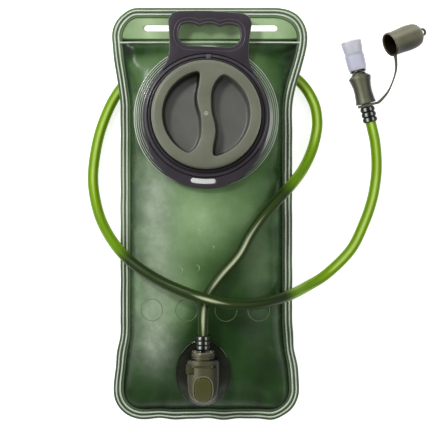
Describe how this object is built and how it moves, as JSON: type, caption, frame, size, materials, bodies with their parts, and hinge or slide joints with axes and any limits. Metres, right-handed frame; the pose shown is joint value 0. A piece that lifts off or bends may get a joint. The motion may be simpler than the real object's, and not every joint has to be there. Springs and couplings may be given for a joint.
{
  "type": "hydration bladder",
  "caption": "Full soft water bladder lying on its back, with a screw cap on a grip collar, a release outlet, a drinking hose, a bite valve and a tethered dust cap.",
  "frame": {"origin": "under the middle of the bag, on the surface it lies on", "axes": "+X to the bag's right, +Y along the bag towards the handle, +Z out of its front; metres"},
  "size_m": [0.3169, 0.38, 0.0836],
  "materials": {
    "green_film": "glossy tinted film, slightly see-through",
    "clear_flange": "clear, glossy",
    "dark_collar": "satin",
    "grey_green_cap": "satin",
    "smoked_flange": "glossy, near black",
    "olive_housing": "satin to glossy",
    "hose_green": "glossy, see-through",
    "black_stem": "glossy",
    "milky_silicone": "milky, soft",
    "seal_rubber": "matte",
    "spring_steel": "drawn wire"
  },
  "bodies": {
    "bag": {"back_film": "green_film", "front_film": "green_film", "weld_flange": "clear_flange", "outlet_flange": "smoked_flange", "threaded_neck": "dark_collar", "grip_collar": "dark_collar", "valve_socket": "olive_housing", "button_spring": "spring_steel", "poppet_spring": "spring_steel", "hose": "hose_green", "valve_stem": "black_stem", "stem_oring": "seal_rubber"},
    "gasket": {"cap_gasket": "seal_rubber"},
    "cap": {"screw_cap": "grey_green_cap"},
    "button": {"release_button": "olive_housing", "latch_plate": "olive_housing"},
    "poppet": {"shutoff_poppet": "grey_green_cap"},
    "plug": {"hose_plug": "smoked_flange", "plug_oring": "seal_rubber"},
    "bite_valve": {"bite_valve_body": "olive_housing"},
    "bite_tip": {"mouthpiece_ring": "black_stem", "mouthpiece": "milky_silicone"},
    "tether": {"tether_ring": "grey_green_cap", "tether_strap": "grey_green_cap"},
    "dust_cover": {"dust_cap": "grey_green_cap"}
  },
  "joints": [
    {"name": "cap_rise", "type": "slide", "parent": "bag", "child": "gasket", "axis": [0, 0.1392, 0.9903], "range_m": [0, 0.01351]},
    {"name": "cap_turn", "type": "hinge", "parent": "gasket", "child": "cap", "pos_m": [0, 0.0887, 0.044], "axis": [0, 0.1392, 0.9903], "range_deg": [0, 540]},
    {"name": "release_button_press", "type": "slide", "parent": "bag", "child": "button", "axis": [0, 0.1908, -0.9816], "range_m": [0, 0.0015], "stiffness_N_per_m": 400, "deforming": ["button_spring"]},
    {"name": "plug_pull", "type": "slide", "parent": "bag", "child": "plug", "axis": [0, 0.9816, 0.1908], "range_m": [0, 0.019], "deforming": ["hose"]},
    {"name": "shutoff_poppet_travel", "type": "slide", "parent": "bag", "child": "poppet", "axis": [0, 0.9816, 0.1908], "range_m": [0, 0.0025], "deforming": ["poppet_spring"]},
    {"name": "bite_valve_swivel", "type": "hinge", "parent": "bag", "child": "bite_valve", "pos_m": [0.149, 0.1022, 0.0106], "axis": [-0.2385, 0.9711, 0], "continuous": true},
    {"name": "mouthpiece_pull", "type": "slide", "parent": "bite_valve", "child": "bite_tip", "axis": [-0.2385, 0.9711, 0], "range_m": [0, 0.003]},
    {"name": "tether_ring_turn", "type": "hinge", "parent": "bag", "child": "tether", "pos_m": [0.149, 0.1022, 0.0106], "axis": [-0.2385, 0.9711, 0], "range_deg": [-90, 0]},
    {"name": "dust_cap_swing", "type": "hinge", "parent": "tether", "child": "dust_cover", "pos_m": [0.16, 0.1035, 0], "axis": [0, 0, 1], "range_deg": [-45, 8], "deforming": ["tether_strap"]}
  ],
  "couplings": [
    {"joint": "cap_rise", "follows": "cap_turn", "m_per_rad": 0.0014324},
    {"joint": "shutoff_poppet_travel", "follows": "plug_pull", "ratio": 0.125}
  ]
}
